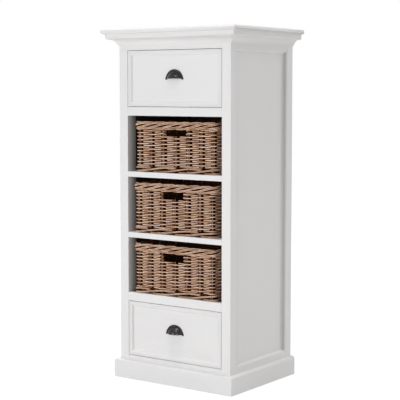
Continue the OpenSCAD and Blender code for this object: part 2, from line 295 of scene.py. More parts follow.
def floor_finish():
    """Pale grey for the lamps, and mostly a white glow for the camera and reflections."""
    material = bpy.data.materials.new("studio_floor")
    material.use_nodes = True
    tree = material.node_tree
    tree.nodes.clear()
    pale = wires(tree, "ShaderNodeBsdfDiffuse", {"Color": FLOOR_GREY})[0]
    glow = wires(tree, "ShaderNodeEmission", {"Color": WHITE, "Strength": FLOOR_GLOW})[0]
    path = wires(tree, "ShaderNodeLightPath")
    share = maths("MAXIMUM", path["Is Camera Ray"], path["Is Glossy Ray"]) * GLOW_SHARE
    both = wires(tree, "ShaderNodeMixShader", {0: share, 1: pale, 2: glow})[0]
    add(tree, "ShaderNodeOutputMaterial", {"Surface": both})
    return material


def build_floor():
    """A wide square floor under the tower."""
    mesh = bpy.data.meshes.new("floor")
    signs = ((-1, -1), (1, -1), (1, 1), (-1, 1))
    corners = [(x * FLOOR_REACH, y * FLOOR_REACH, 0) for x, y in signs]
    mesh.from_pydata(corners, [], [(0, 1, 2, 3)])
    mesh.materials.append(floor_finish())
    floor = bpy.data.objects.new("floor", mesh)
    scene.collection.objects.link(floor)
    return floor


print("floor:", build_floor().name, "reaches", FLOOR_REACH, "m")

# %% [markdown]
# ## White paint
#
# The cabinet has a satin white paint, laid on with a brush along each board. Up close it has
# very fine brush lines and a barely uneven tone. Both come from noise stretched along the
# board, so the group takes the stretch as a vector and each board direction gets its own
# material.

# %% Streaks along a board
@node_group(
    "Shader",
    {"Stretch": (60.0, 60.0, 4.0), "Detail": 3.0, "Warp": 0.0},
    {"Value": FLOAT, "Fine": FLOAT})
def streaks(tree, given):
    """Noise drawn out into streaks; Stretch is its frequency along each axis, per metre."""
    place = wires(tree, "ShaderNodeTexCoord")["Object"]
    bend = vectors("SCALE", noise(place, 6.0, 2.0)["Color"], given["Warp"])
    drawn = vectors("MULTIPLY", vectors("ADD", place, bend), given["Stretch"])
    return {"Value": noise(drawn, 1.0, given["Detail"])["Fac"],
            "Fine": noise(drawn, 5.0, 2.0)["Fac"]}


# %% [markdown]
# Inside, behind the front posts, the carcass is coloured nearly black: painted shade, for the
# bays lie in deep shadow. Paint and this painted shade are on the same boards, so a mask by place
# decides between them, and it fades over the painted part of the posts as painted shade that
# deepens into the bays.
#
# The photograph's soft light also leaves small steps of tone that soft boxes alone don't give.
# These steps are painted on: moulding faces that lean to the right get painted shade, those that
# face up painted light, and the side bead's faces that look forward the darkest painted shade.
# The posts' sides in the bays get painted shade that deepens towards the back. A second group
# finds these faces by their place and direction, which stay the same from every view.

# %% The carcass's inside
@node_group(
    "Shader",
    {"Half Width": 0.2545, "Front": -0.141, "Fade": 0.022, "Back": 0.2485, "Top": 1.4295},
    {"Mask": FLOAT})
def carcass_inside(tree, given):
    """Where the carcass's painted shade goes: 1 inside it, behind the front posts, and 0 outside
    it.
    """
    place = axes(wires(tree, "ShaderNodeTexCoord")["Object"])
    mask = maths("LESS_THAN", maths("ABSOLUTE", place["X"]), given["Half Width"])
    for axis, limit in (("Y", "Back"), ("Z", "Top")):
        mask = mask * maths("LESS_THAN", place[axis], given[limit])
    start = given["Front"] - given["Fade"]
    fade = ramp(place["Y"], 0.0, 1.0, start, given["Front"], "SMOOTHSTEP")
    return {"Mask": mask * fade}


# %% Leaning faces
# Each is the mask's value at the start and at the end of a range, and then that range, of a
# face's direction from -1 to 1 or of a place in metres.
# Painted shade on faces leaning right and on forward faces in the side's recess, painted light on
# faces that look up, more of it higher up, and painted shade deepening along the posts' sides.
LEANS_RIGHT = (0.0, 1.0, 0.02, 0.42)
ISNT_FLAT_SIDE = (1.0, 0.0, 0.90, 0.98)
FACES_UP = (0.0, 1.0, 0.10, 0.50)
LIGHTER_HIGHER = (0.3, 1.0, 0.1, 1.2)
FACES_FORWARD = (1.0, 0.0, -0.8, -0.2)
DARKER_DEEPER = (0.17, 0.74, -0.200, -0.150)
SIDEWAYS = 0.7


@node_group(
    "Shader",
    {"Top": 1.38, "Back": 0.10, "Half Width": 0.25},
    {"Right": FLOAT, "Up": FLOAT, "Forward": FLOAT, "Inner": FLOAT})
def leaning_faces(tree, given):
    """Masks for painted shade and light: faces that lean right or up, look forward at the back, or
    face into a bay.
    """
    coordinates = wires(tree, "ShaderNodeTexCoord")
    spot = axes(coordinates["Object"])
    normal = axes(coordinates["Normal"])
    lower = maths("LESS_THAN", spot["Z"], given["Top"])
    behind = maths("GREATER_THAN", spot["Y"], given["Back"])
    sideways = maths("GREATER_THAN", maths("ABSOLUTE", normal["X"]), SIDEWAYS)
    within = maths("LESS_THAN", maths("ABSOLUTE", spot["X"]), given["Half Width"])
    return {
        "Right": ramp(normal["X"], *LEANS_RIGHT) * ramp(normal["X"], *ISNT_FLAT_SIDE),
        "Up": ramp(normal["Z"], *FACES_UP) * (ramp(spot["Z"], *LIGHTER_HIGHER) * lower),
        "Forward": ramp(normal["Y"], *FACES_FORWARD) * behind,
        "Inner": ramp(spot["Y"], *DARKER_DEEPER) * (sideways * within)}


# %% Colours and materials
def blend_colours(share, first, second, how="MIX"):
    """A mix of two colours, each a value or a wire."""
    tree = tree_of(share, first, second)
    sockets = {"Factor": share, "A": first, "B": second}
    return wires(tree, "ShaderNodeMix", sockets, data_type="RGBA", blend_type=how)[0]


def make_material(name, look, *options):
    """A new material whose Principled BSDF gets what a look returns for its tree."""
    material = bpy.data.materials.new(name)
    material.use_nodes = True
    tree = material.node_tree
    fill(tree, tree.nodes["Principled BSDF"], look(tree, *options))
    return material


def bump(height, distance, strength):
    """The normal that a height gives, where 1 is as high as the distance in metres."""
    sockets = {"Height": height, "Distance": distance, "Strength": strength}
    return wires(height.tree, "ShaderNodeBump", sockets)["Normal"]


# %% Three directions of paint
PAINT = (0.803, 0.798, 0.798, 1.0)
PAINT_LOW = (0.773, 0.766, 0.766, 1.0)
# Painted light for faces that look up; painted shade for faces that lean right and for forward
# faces in the recess.
PAINTED_LIGHT = (0.92, 0.915, 0.915, 1.0)
SHADED_TINT = (0.80, 0.80, 0.80, 1.0)
PAINTED_RECESS_SHADE = (0.59, 0.59, 0.59, 1.0)
# Nearly black painted shade for the carcass's inside, in two tones for its grain.
INSIDE_SHADE_COLOUR = (0.020, 0.015, 0.013, 1.0)
INSIDE_SHADE_PALER = (0.040, 0.029, 0.024, 1.0)
ALONG = {"x": (5.0, 90.0, 90.0), "y": (90.0, 5.0, 90.0), "z": (90.0, 90.0, 5.0)}


def white_paint(tree, direction):
    """Brushed white paint along an axis, with painted shade and light by the faces' direction and
    nearly black painted shade inside the carcass.
    """
    grain = use(tree, streaks, {"Stretch": ALONG[direction], "Detail": 4.0})
    inside = use(tree, carcass_inside)["Mask"]
    faces = use(tree, leaning_faces)
    paint = blend_colours(grain["Value"], PAINT_LOW, PAINT)
    # Painted shade and painted light by the faces' direction, and on the posts painted shade that
    # deepens into the bays.
    if direction == "x":
        paint = blend_colours(faces["Right"], paint, SHADED_TINT, "MULTIPLY")
        paint = blend_colours(faces["Up"], paint, PAINTED_LIGHT)
    else:
        paint = blend_colours(faces["Forward"], paint, PAINTED_RECESS_SHADE, "MULTIPLY")
    if direction == "z":
        inside = maths("MAXIMUM", inside, faces["Inner"])
    inside_shade = blend_colours(grain["Fine"], INSIDE_SHADE_COLOUR, INSIDE_SHADE_PALER)
    return {"Base Color": blend_colours(inside, paint, inside_shade),
            "Roughness": ramp(grain["Value"], 0.42, 0.55),
            "Normal": bump(grain["Fine"], distance=0.00012, strength=0.35)}


paints = {axis: make_material("white_paint_" + axis, white_paint, axis) for axis in ALONG}
print("paints:", [paint.name for paint in paints.values()])

# %% [markdown]
# ## Wood and metal
#
# The back panel and the decks are nearly black all over: painted shade for the carcass's deep
# shadow. The drawer boxes and runners are plain pale wood, with grain from the same streaks,
# slightly bent so that the lines aren't ruler-straight.
# The pulls are dark oil-rubbed iron. They are smooth enough for a lamp to leave a small bright
# spot, and fine pits and a slow mottle keep that spot from looking like plastic.

# %% Boards nearly black with painted shade, and bare drawer wood
PALE_WOOD, DARK_WOOD = (0.56, 0.38, 0.22, 1.0), (0.34, 0.20, 0.10, 1.0)


def shaded_inside_board(tree):
    """The back panel and the decks: nearly black painted shade, with a faint grain."""
    grain = use(tree, streaks, {"Stretch": (60.0, 60.0, 5.0), "Detail": 5.0, "Warp": 0.02})
    return {"Base Color": blend_colours(grain["Value"], INSIDE_SHADE_COLOUR, INSIDE_SHADE_PALER),
            "Roughness": ramp(grain["Fine"], 0.5, 0.7),
            "Normal": bump(grain["Value"], distance=0.0003, strength=0.4)}


def bare_wood(tree, direction):
    """Pale plain wood with grain along an axis, as the drawer boxes and runners have."""
    grain = use(tree, streaks, {"Stretch": ALONG[direction], "Detail": 6.0, "Warp": 0.03})
    share = ramp(grain["Value"], 0.0, 1.0, 0.35, 0.7)
    return {"Base Color": blend_colours(share, PALE_WOOD, DARK_WOOD),
            "Roughness": ramp(grain["Fine"], 0.5, 0.7),
            "Normal": bump(grain["Fine"], distance=0.0002, strength=0.4)}


dark_board = make_material("dark_board", shaded_inside_board)
woods = {axis: make_material("bare_wood_" + axis, bare_wood, axis) for axis in ALONG}
print("woods:", dark_board.name, [wood.name for wood in woods.values()])

# %% Iron and steel
IRON, IRON_LIGHT = (0.024, 0.023, 0.024, 1.0), (0.051, 0.047, 0.046, 1.0)
ZINC, ZINC_LIGHT = (0.50, 0.49, 0.47, 1.0), (0.66, 0.65, 0.62, 1.0)


def dark_iron(tree):
    """Oil-rubbed cast iron: nearly black, slightly mottled and finely pitted."""
    place = wires(tree, "ShaderNodeTexCoord")["Object"]
    mottle = noise(place, 90.0, 5.0)["Fac"]
    pits = noise(place, 700.0, 2.0)["Fac"]
    share = ramp(mottle, 0.0, 1.0, 0.35, 0.65)
    return {"Base Color": blend_colours(share, IRON, IRON_LIGHT),
            "Metallic": 0.85,
            "Roughness": ramp(mottle, 0.17, 0.26),
            "Normal": bump(pits, distance=0.0002, strength=0.25)}


def screw_steel(tree):
    """Bright zinc on the back panel's screws."""
    mottle = noise(wires(tree, "ShaderNodeTexCoord")["Object"], 400.0, 3.0)["Fac"]
    return {"Base Color": blend_colours(mottle, ZINC, ZINC_LIGHT),
            "Metallic": 1.0,
            "Roughness": ramp(mottle, 0.25, 0.45)}


iron = make_material("dark_iron", dark_iron)
steel = make_material("screw_steel", screw_steel)
print("metals:", iron.name, steel.name)

# %% [markdown]
# ## Boards
#
# The CAD boards already have their true shapes, so they stay. Each gets the material whose
# grain runs along it. Real boards also have slightly rounded edges, which catch light and make
# a fine groove at each joint. Three modifiers add them without touching the CAD mesh: Weld
# closes its loose triangles, a planar Decimate joins those that lie in one flat face, and
# Bevel rounds what is left of the edges.

# %% Give each board its finish
GRAIN = {
    "x": ("top_board", "crown_front", "plinth_front", "top_rail", "rail", "bottom_rail", "shelf_",
          "drawer_front", "drawer_back", "drawer_bottom"),
    "y": ("crown_left", "crown_right", "plinth_left", "plinth_right", "side_top_rail",
          "side_bottom_rail", "runners_", "drawer_side"),
}
BARE = ("runners_", "drawer_side", "drawer_back", "drawer_bottom")
DARK = ("back_panel", "deck_", "bottom_board")


def board_material(name):
    """The material of a CAD node, by its name; upper and lower ones are alike."""
    kind = name.replace("upper_", "").replace("lower_", "")
    if kind.startswith(("cup_pull", "pull_screws")):
        return iron
    if kind == "back_screws":
        return steel
    if kind.startswith(DARK):
        return dark_board
    direction = next((d for d, starts in GRAIN.items() if kind.startswith(starts)), "z")
    return (woods if kind.startswith(BARE) else paints)[direction]


for name, node in nodes.items():
    node.data.materials.clear()
    node.data.materials.append(board_material(name))
print("finished", len(nodes), "CAD nodes")

# %% Soften the boards' edges
EDGE_RADIUS = 0.0007
SAME_PLACE = 0.00002
SAME_FACE = math.radians(0.4)
SHARP_EDGE = math.radians(40.0)
PLAIN_EDGES = ("back_screws", "pull_screws", "cup_pull", "back_panel", "basket_")


def soften_edges(board):
    """Rounds a board's sharp edges with live modifiers."""
    board.modifiers.new("join", "WELD").merge_threshold = SAME_PLACE
    flat = board.modifiers.new("flat", "DECIMATE")
    flat.decimate_type = "DISSOLVE"
    flat.angle_limit = SAME_FACE
    edge = board.modifiers.new("edge", "BEVEL")
    edge.width = EDGE_RADIUS
    edge.segments = 2
    edge.limit_method = "ANGLE"
    edge.angle_limit = SHARP_EDGE
    edge.use_clamp_overlap = False
    edge.harden_normals = True


for name, node in nodes.items():
    if not name.startswith(PLAIN_EDGES):
        soften_edges(node)
print("softened edges of", sum(len(node.modifiers) == 3 for node in nodes.values()), "boards")

# %% [markdown]
# ## Wicker
#
# The baskets are woven from grey-brown rattan. Pairs of upright stakes stand round the wall, 45
# to 64 mm apart. Single weavers pass in front of one pair and behind the next, and each row
# does the opposite of the row below. A rope-like border finishes the rim, with five double
# strands, and the foot, with three. A weave is a rule, so Geometry Nodes make it from a guide
# line that runs once round the basket, and small random wanderings keep it hand-made.
#
# First come the tools that all parts of a basket share: values kept under a name, random
# numbers, a smooth random shift, numbered lines that later bend into canes, and the place at a
# distance along the guide.

# %% Kept values and random ones
def named(tree, name):
    """The value kept under a name."""
    return geometry(tree, "InputNamedAttribute", {"Name": name}, data_type="FLOAT")


def store(shape, name, value, domain="POINT", kind="FLOAT"):
    """The shape with a value kept under a name."""
    sockets = {"Geometry": shape, "Name": name, "Value": value}
    return geometry(shape.tree, "StoreNamedAttribute", sockets, data_type=kind, domain=domain)


def chance(number, seed, low=0.0, high=1.0):
    """A random value that belongs to a number."""
    sockets = {"ID": number, "Seed": seed, "Min": low, "Max": high}
    return wires(number.tree, "FunctionNodeRandomValue", sockets, data_type="FLOAT")[0]


def wander(place, seed, amount, scale):
    """A small smooth random shift of a place, different for each seed."""
    cloud = noise(place, scale, 1.0, W=seed)["Color"]
    centred = vectors("SUBTRACT", cloud, (0.5, 0.5, 0.5))
    return vectors("SCALE", centred, amount * 2.0)


# %% Numbered lines and places on the guide
@node_group("Geometry", {"Count": 1, "Points": 32}, {"Curves": SHAPE})
def numbered_lines(tree, given):
    """Straight lines with a number each, kept under the name number."""
    line = geometry(tree, "CurvePrimitiveLine")
    even = geometry(tree, "ResampleCurve", {"Curve": line, "Count": given["Points"]})
    spots = geometry(tree, "MeshLine", {"Count": given["Count"]})
    copies = geometry(tree, "InstanceOnPoints", {"Points": spots, "Instance": even})
    counted = store(copies, "number", geometry(tree, "InputIndex"), domain="INSTANCE")
    return {"Curves": geometry(tree, "RealizeInstances", {"Geometry": counted})}


@node_group("Geometry", {"Guide": SHAPE, "Distance": 0.0}, {"Place": VECTOR, "Outward": VECTOR})
def on_guide(tree, given):
    """The place at a distance along the guide, and the direction out of the basket there."""
    whole = geometry(tree, "CurveLength", {"Curve": given["Guide"]})
    wrapped = maths("FLOORED_MODULO", given["Distance"], whole)
    sample = wires(tree, "GeometryNodeSampleCurve", {"Curves": given["Guide"], "Length": wrapped},
                   mode="LENGTH")
    across = vectors("CROSS_PRODUCT", sample["Tangent"], (0.0, 0.0, 1.0))
    return {"Place": sample["Position"], "Outward": vectors("NORMALIZE", across)}


# %% [markdown]
# ### Cane
#
# A cane is an oval swept along a curve, a little thicker here and thinner there. Real weavers
# are short lengths laid end to end, so the tree also cuts each strand into pieces by number and
# keeps a random tone for each. It keeps the way along the strand and the place on its skin too,
# because the rattan's fibres and shading follow the cane, not the room.

# %% The cane
STRAND_NUMBERS = 64.0
FIBRE_SHIFT = 3.7
SWELL_SHIFT = 5.3
SWELL_SCALE = 28.0


@node_group(
    "Geometry",
    {"Curves": SHAPE, "Half Depth": 0.003, "Half Height": 0.003, "Unevenness": 0.3,
     "Piece": 0.45, "Sides": 8, "Seed": 1, "Crevice": 1.0},
    {"Mesh": SHAPE})
def cane(tree, given):
    """Sweeps an oval cane along each curve and keeps what its colour needs."""
    along = wires(tree, "GeometryNodeSplineParameter")["Length"]
    strand = wires(tree, "GeometryNodeCurveOfPoint")["Curve Index"]
    piece = maths("FLOOR", along / given["Piece"] + chance(strand, given["Seed"]))
    tone = chance(strand * STRAND_NUMBERS + piece, given["Seed"])
    kept = store(given["Curves"], "tone", tone)
    kept = store(kept, "along", strand * FIBRE_SHIFT + along)
    # How much painted shade goes where this cane meets its neighbours.
    kept = store(kept, "crevice", given["Crevice"])
    upright = geometry(tree, "SetCurveNormal", {"Curve": kept}, mode="Z_UP")
    place = geometry(tree, "InputPosition")
    swell = noise(place, SWELL_SCALE, 1.0, W=strand * SWELL_SHIFT)["Fac"]
    radius = (swell - 0.5) * given["Unevenness"] + 1.0
    thick = geometry(tree, "SetCurveRadius", {"Curve": upright, "Radius": radius})
    ring = geometry(tree, "CurvePrimitiveCircle", {"Resolution": given["Sides"], "Radius": 1.0})
    ring = store(ring, "skin", place, kind="FLOAT_VECTOR")
    oval = point(tree, given["Half Depth"], given["Half Height"], 1.0)
    profile = geometry(tree, "Transform", {"Geometry": ring, "Scale": oval})
    swept = geometry(tree, "CurveToMesh", {"Curve": thick, "Profile Curve": profile,
                                           "Scale": geometry(tree, "InputRadius"),
                                           "Fill Caps": True})
    return {"Mesh": geometry(tree, "SetShadeSmooth", {"Geometry": swept})}


# %% Along curves
def straight_lines(tree, count, points):
    """Numbered lines of some points each, their number, and the share of the way along."""
    lines = use(tree, numbered_lines, {"Count": count, "Points": points})[0]
    return lines, named(tree, "number"), wires(tree, "GeometryNodeSplineParameter")["Factor"]


def read_guide(mesh):
    """The guide as a curve, and its length."""
    guide = geometry(mesh.tree, "MeshToCurve", {"Mesh": mesh})
    return guide, geometry(mesh.tree, "CurveLength", {"Curve": guide})


def canes(curves, half_depth, half_height, seed, **more):
    """Canes swept along curves."""
    return use(curves.tree, cane, {"Curves": curves, "Half Depth": half_depth,
                                   "Half Height": half_height, "Seed": seed, **more})[0]


def moved(curves, target):
    """Curves whose points are put at a target."""
    sockets = {"Geometry": curves, "Position": target}
    return geometry(curves.tree, "SetPosition", sockets)


def placed(curves, spot, out, height):
    """Curves whose points lie out from a spot on the guide, at a height."""
    aside = vectors("ADD", spot["Place"], vectors("SCALE", spot["Outward"], out))
    return moved(curves, vectors("ADD", aside, point(curves.tree, z=height)))


def finished(tree, meshes, material):
    """Meshes joined, realized and given a material, as each piece's tree ends."""
    together = add(tree, "GeometryNodeJoinGeometry")
    for mesh in reversed(meshes):
        tree.links.new(mesh.socket, together.inputs[0])
    joined = Wire(tree, together.outputs[0])
    real = geometry(tree, "RealizeInstances", {"Geometry": joined})
    return {"Geometry": geometry(tree, "SetMaterial", {"Geometry": real, "Material": material})}


# %% [markdown]
# ### Where the stakes stand
#
# In the photograph the stakes aren't evenly spaced: they are closest round the corners. So two
# scales carry a distance along the guide into a stake number and back, alike in each quarter of
# the basket. A weaver swings once for every two stake numbers, so it bulges right at the
# stakes, wherever they stand.

# %% Stake numbers and stake places
STAKE_NUMBERS = (0.0, 2.0, 3.0, 4.0, 6.5)
STAKE_PLACES = (0.0, 0.127, 0.184, 0.229, 0.3735)


def quarter_scale(title, from_stops, to_stops):
    """A group that carries places from one scale to another, alike in each quarter."""
    quarter, target = from_stops[-1], to_stops[-1]
    steps = [*zip(from_stops, from_stops[1:], to_stops, to_stops[1:])]

    @node_group("Geometry", {"Value": 0.0}, {"Value": FLOAT}, title)
    def scale(tree, given):
        """Folds a place into the first quarter, scales it there and folds it back out."""
        round_once = maths("FLOORED_MODULO", given["Value"], 4.0 * quarter)
        folded = maths("PINGPONG", round_once, 2.0 * quarter)
        place = maths("PINGPONG", folded, quarter)
        total = sum(ramp(place, 0.0, to_high - to_low, low, high)
                    for low, high, to_low, to_high in steps)
        behind = maths("GREATER_THAN", folded, quarter)
        second = maths("GREATER_THAN", round_once, 2.0 * quarter)
        for turned, whole in ((behind, 2.0 * target), (second, 4.0 * target)):
            total = turned * (total * -2.0 + whole) + total
        return {"Value": total}
    return scale


stake_number = quarter_scale("stake_number", STAKE_PLACES, STAKE_NUMBERS)
stake_place = quarter_scale("stake_place", STAKE_NUMBERS, STAKE_PLACES)

# %% [markdown]
# ### The woven wall
#
# The rows are level lines carried once round the guide and swung in and out by a wave that
# stays longer near the middle and turns sharply at the stakes. Each row also wanders a little
# by itself, and all rows sag and rise together over a hand's width, as woven rows do.

# %% Rows of weavers
SHARPNESS = 0.8
ROW_SEED_STEP = 2.37
OWN_SCALE = 22.0
SHARED_WANDER = (0.0055, 6.0)


@node_group(
    "Geometry",
    {"Guide": SHAPE, "Rows": 17, "Pitch": 0.0073, "Lowest": 0.0, "From": 0.0, "To": 1.0,
     "Points": 240, "First": 0, "Sway": 0.0045, "Wander": 0.0009, "Mark Shift": 0.0045,
     "Seed": 0.0},
    {"Curves": SHAPE})
def weaver_rows(tree, given):
    """Weavers in level rows, each passing in front of every other stake."""

    def swing_at(distance, row):
        """1 where a weaver is furthest out, in front of a stake, and -1 behind one."""
        beat = use(tree, stake_number, {"Value": distance})[0] + row
        wave = maths("COSINE", (beat + 1.0) * math.pi)
        return wave * (wave * wave * SHARPNESS + (1.0 - SHARPNESS))

    lines, number, factor = straight_lines(tree, given["Rows"], given["Points"])
    distance = factor * (given["To"] - given["From"]) + given["From"]
    spot = use(tree, on_guide, {"Guide": given["Guide"], "Distance": distance})
    row = number + given["First"]
    level = row * given["Pitch"] + given["Lowest"]
    own_seed = row * ROW_SEED_STEP + given["Seed"]
    own = axes(wander(spot["Place"], own_seed, given["Wander"], OWN_SCALE))
    there = vectors("ADD", spot["Place"], point(tree, z=level))
    sag = axes(wander(there, given["Seed"], *SHARED_WANDER))
    out = swing_at(distance, row) * given["Sway"] + own["X"]
    # The dips carry painted shade, set a little to the right as a painted shadow of the stakes.
    dip_shade_marks = swing_at(distance - given["Mark Shift"], row)
    marked = store(lines, "dip", dip_shade_marks * -1.0)
    return {"Curves": placed(marked, spot, out, level + own["Y"] + sag["Z"])}


# %% [markdown]
# The stakes stand in pairs, not quite parallel. The pair that would cross the hand-hole is cut
# at its lower edge, and the weavers beside the hole turn back there in small hoops, each from
# one row to the next.

# %% Stakes
STAKE_JITTER = 0.0008
PAIR_JITTER = (-0.0012, 0.0018)
STAKE_WANDER = (0.0012, 12.0)


@node_group(
    "Geometry",
    {"Guide": SHAPE, "Stakes": 26, "Gap": 0.0060, "Low": 0.0, "High": 0.2, "Hole Low": 0.15,
     "Seed": 0.0},
    {"Curves": SHAPE})
def stakes(tree, given):
    """Pairs of upright stakes; the pair at the hand-hole stops at its lower edge."""
    lines, number, factor = straight_lines(tree, given["Stakes"] * 2.0, 18)
    pair = maths("FLOOR", number / 2.0)
    side = maths("MODULO", number, 2.0) - 0.5
    jitter = chance(number, 7, -STAKE_JITTER, STAKE_JITTER)
    gap = given["Gap"] + chance(pair, 3, *PAIR_JITTER)
    middle = use(tree, stake_place, {"Value": pair})[0]
    distance = middle + (side * gap + jitter)
    place = use(tree, on_guide, {"Guide": given["Guide"], "Distance": distance})["Place"]
    first = maths("LESS_THAN", pair, 0.5)
    top = given["High"] - first * (given["High"] - given["Hole Low"])
    height = factor * (top - given["Low"]) + given["Low"]
    there = vectors("ADD", place, point(tree, z=height))
    bend = wander(there, given["Seed"], *STAKE_WANDER)
    target = vectors("ADD", there, vectors("MULTIPLY", bend, (1.0, 1.0, 0.0)))
    return {"Curves": moved(lines, target)}


# %% Hoops at the hand-hole
@node_group(
    "Geometry",
    {"Front": -0.185, "Centre": 0.0, "Root": 0.060, "Bulge": 0.0055, "Lowest": 0.15,
     "Pitch": 0.0073, "Sway": 0.0045},
    {"Curves": SHAPE})
def hoops(tree, given):
    """Weavers that turn back round the two edges of the hand-hole, from one row to the next."""
    lines, number, factor = straight_lines(tree, 4, 9)
    side = maths("MODULO", number, 2.0) * 2.0 - 1.0
    level = maths("FLOOR", number / 2.0)
    turn = factor * math.pi
    rise = maths("COSINE", turn)
    x = side * (given["Root"] - maths("SINE", turn) * given["Bulge"]) + given["Centre"]
    y = rise * given["Sway"] + given["Front"]
    middle = (level * 2.0 + 0.5) * given["Pitch"] + given["Lowest"]
    z = middle - rise * (given["Pitch"] * 0.5)
    # The hoops stay in front, so the dips' painted shade leaves them out.
    unshaded = store(lines, "dip", -1.0)
    return {"Curves": moved(unshaded, point(tree, x, y, z))}


# %% The whole wall
STAKE_START = 0.008
# Hoops and stakes get little of the painted shade between rows.
LITTLE_CREVICE = 0.2


@node_group(
    "Geometry",
    {"Geometry": SHAPE, "Floor": 0.0, "Foot": 0.024, "Pitch": 0.00733, "Whole Rows": 17,
     "Broken Rows": 4, "Hole Root": 0.060, "Hole Aside": 0.0, "Stakes": 26, "Sway": 0.0065,
     "Front": -0.185, "Centre": 0.0, "Half Depth": 0.0030, "Half Height": 0.0037,
     "Stake Radius": 0.0023, "Wall Top": 0.186, "Seed": 1, "Material": FINISH},
    {"Geometry": SHAPE})
def woven_wall(tree, given):
    """Rows right round, rows broken by the hand-hole, hoops at its edges, and stakes."""
    pitch, seed, root, aside = (given[key] for key in ("Pitch", "Seed", "Hole Root", "Hole Aside"))
    guide, whole = read_guide(given["Geometry"])
    bottom = given["Floor"] + given["Foot"]
    half_row = pitch * 0.5
    common = {"Guide": guide, "Pitch": pitch, "Lowest": half_row + bottom,
              "Sway": given["Sway"], "Seed": seed}
    back = whole * 0.5
    round_rows = use(tree, weaver_rows, {**common, "Rows": given["Whole Rows"], "Points": 288,
                                         "From": back, "To": back + whole})[0]
    split_rows = use(tree, weaver_rows, {**common, "Rows": given["Broken Rows"], "Points": 264,
                                         "First": given["Whole Rows"], "From": aside + root,
                                         "To": whole + aside - root})[0]
    hole_low = given["Whole Rows"] * pitch + bottom
    turned = use(tree, hoops, {"Front": given["Front"], "Centre": given["Centre"] + aside,
                               "Root": root, "Pitch": pitch, "Lowest": half_row + hole_low,
                               "Sway": given["Sway"]})[0]
    uprights = use(tree, stakes, {"Guide": guide, "Stakes": given["Stakes"], "Seed": seed,
                                  "Low": given["Floor"] + STAKE_START, "Hole Low": hole_low,
                                  "High": given["Floor"] + given["Wall Top"]})[0]
    weavers = [canes(curves, given["Half Depth"], given["Half Height"], seed)
               for curves in (round_rows, split_rows)]
    bends, posts = [canes(curves, given[radius], given[radius], seed, Crevice=LITTLE_CREVICE)
                    for curves, radius in ((turned, "Half Height"), (uprights, "Stake Radius"))]
    return finished(tree, [*weavers, bends, posts], given["Material"])


# %% [markdown]
# ### The borders
#
# A border is a rope: each strand winds round the guide on a flattened circle, and its two rods
# stay beside each other. Five strands make the rim and three the foot. Where a strand winds to
# the back it gets painted shade, and on the foot so do the strands' undersides, because they are
# near the shelf.

# %% The plaited border of the rim and the foot
ROUND_FLATTER = 0.15
ROD_SEED_STEP = 1.9
ROD_WANDER = (0.0016, 14.0)


@node_group(
    "Geometry",
    {"Geometry": SHAPE, "Middle": 0.0, "Strands": 4, "Rods": 2, "Turns": 6,
     "Half Width": 0.0066, "Half Rise": 0.0085, "Phase": 0.0, "Spread": 0.0062,
     "Rod Radius": 0.0034, "Undercut": 0.0, "Crevice": 0.4, "Seed": 1, "Material": FINISH},
    {"Geometry": SHAPE})
def plaited_border(tree, given):
    """Double strands that wind round the guide like a long-laid rope."""
    guide, whole = read_guide(given["Geometry"])
    lines, number, factor = straight_lines(tree, given["Strands"] * given["Rods"], 320)
    strand = maths("FLOOR", number / given["Rods"])
    rod = maths("MODULO", number, given["Rods"])
    spot = use(tree, on_guide, {"Guide": guide, "Distance": whole * (factor + 0.5)})
    turns = (factor * given["Turns"] + given["Phase"]) + strand / given["Strands"]
    angle = turns * (2.0 * math.pi)
    front = maths("COSINE", angle)
    rise = maths("SINE", angle)
    flatter = rise * rise * -ROUND_FLATTER + (1.0 + ROUND_FLATTER)
    beside = (rod - 0.5) * given["Spread"]
    up = rise * flatter * given["Half Rise"] + beside
    # Painted shade: darker where a strand winds to the back and, by the undercut, on its
    # underside.
    low = rise * (given["Undercut"] * -1.0)
    marked = store(lines, "dip", maths("MAXIMUM", front * -1.0, low))
    seed = number * ROD_SEED_STEP + given["Seed"]
    own = axes(wander(spot["Place"], seed, *ROD_WANDER))
    out = front * given["Half Width"] + own["X"]
    curves = placed(marked, spot, out, given["Middle"] + up + own["Z"])
    rods = canes(curves, given["Rod Radius"], given["Rod Radius"], given["Seed"],
                 Crevice=given["Crevice"])
    return finished(tree, [rods], given["Material"])


# %% [markdown]
# ### The bottom
#
# The bottom is a flat mat: thick sticks from front to back, and thin canes woven across them.
# Both are straight lines side by side, each as long as the rounded corners leave room for, so
# the mat fills the basket's outline and never passes it.

# %% The basket's bottom
WEFT_RISE = 0.0016
WEFT = (0.0038, 0.0024)
STICK = (0.0045, 0.0026)


